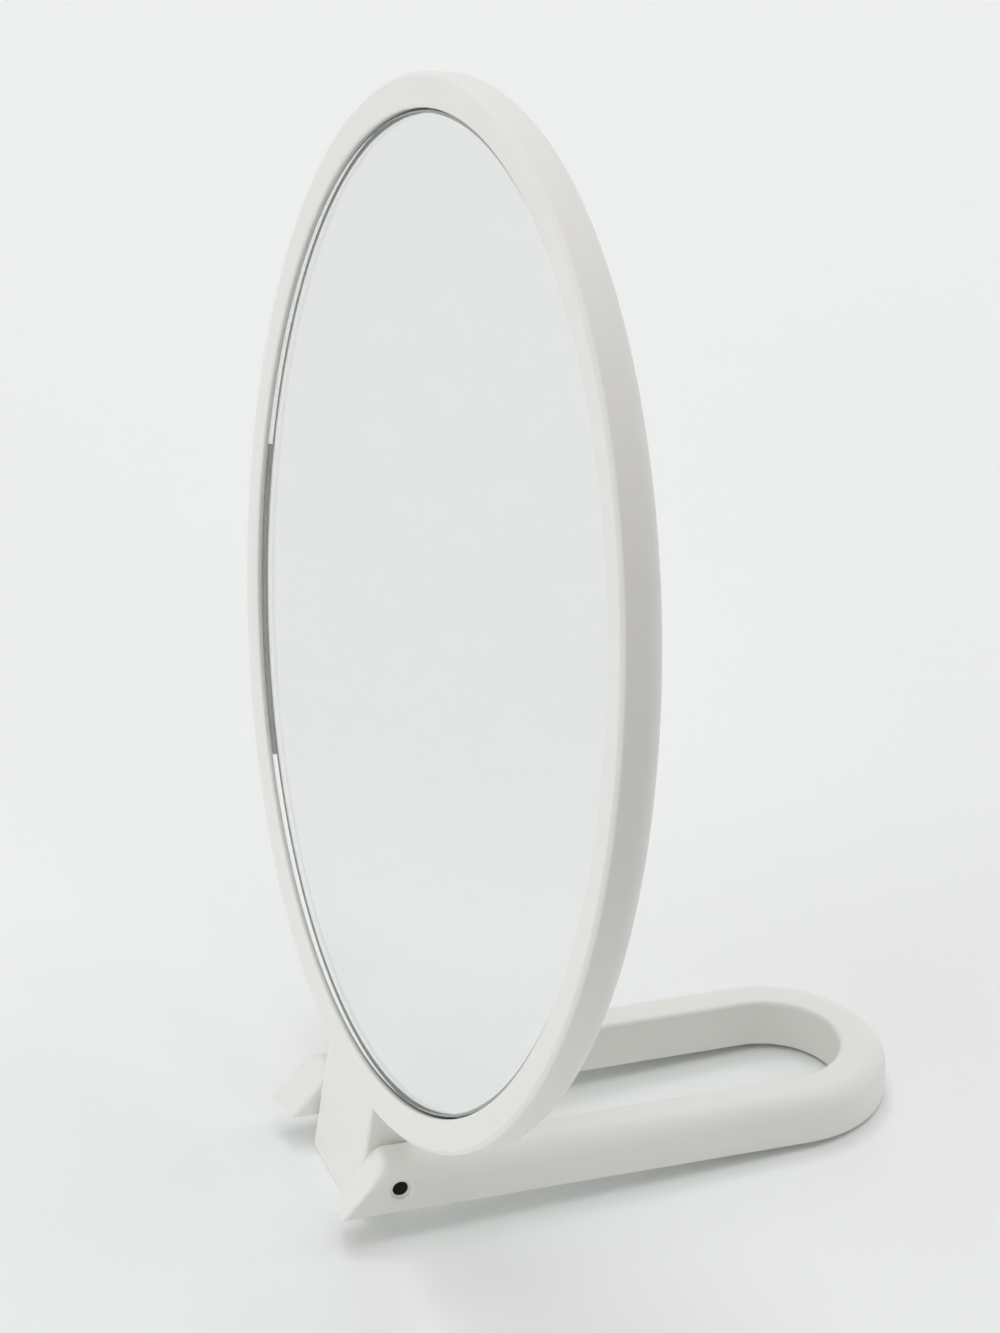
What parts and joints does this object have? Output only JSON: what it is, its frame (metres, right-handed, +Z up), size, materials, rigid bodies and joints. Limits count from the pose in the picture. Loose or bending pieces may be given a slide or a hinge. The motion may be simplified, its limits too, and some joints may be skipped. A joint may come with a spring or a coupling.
{
  "type": "folding mirror",
  "caption": "Round hand mirror hinged to a loop handle that folds back as a stand, in off-white moulded plastic.",
  "frame": {"origin": "middle of the neck's foot, on the surface that the mirror stands on", "axes": "+X along the hinge, -Y the way the mirror faces, +Z up"},
  "size_m": [0.15, 0.0896, 0.1645],
  "materials": {
    "shell_plastic": "fine matte moulded ABS, off-white",
    "pane_glass": "polished float glass, faint green at the edge",
    "silver": "silver coat under backing paint",
    "foam": "closed-cell adhesive foam, white",
    "pin_steel": "blackened steel",
    "acetal": "natural white acetal"
  },
  "bodies": {
    "handle": {"handle_loop": "shell_plastic", "hinge_pin": "pin_steel", "left_washer": "acetal", "right_washer": "acetal"},
    "head": {"head_frame": "shell_plastic", "back_cover": "shell_plastic", "mirror_glass": "pane_glass", "silvered_backing": "silver", "foam_pad": "foam", "friction_sleeve": "acetal"}
  },
  "joints": [
    {"name": "head_tilt", "type": "hinge", "parent": "handle", "child": "head", "pos_m": [0, 0.00138, 0.00806], "axis": [1, 0, 0], "range_deg": [-48, 96.6]}
  ]
}
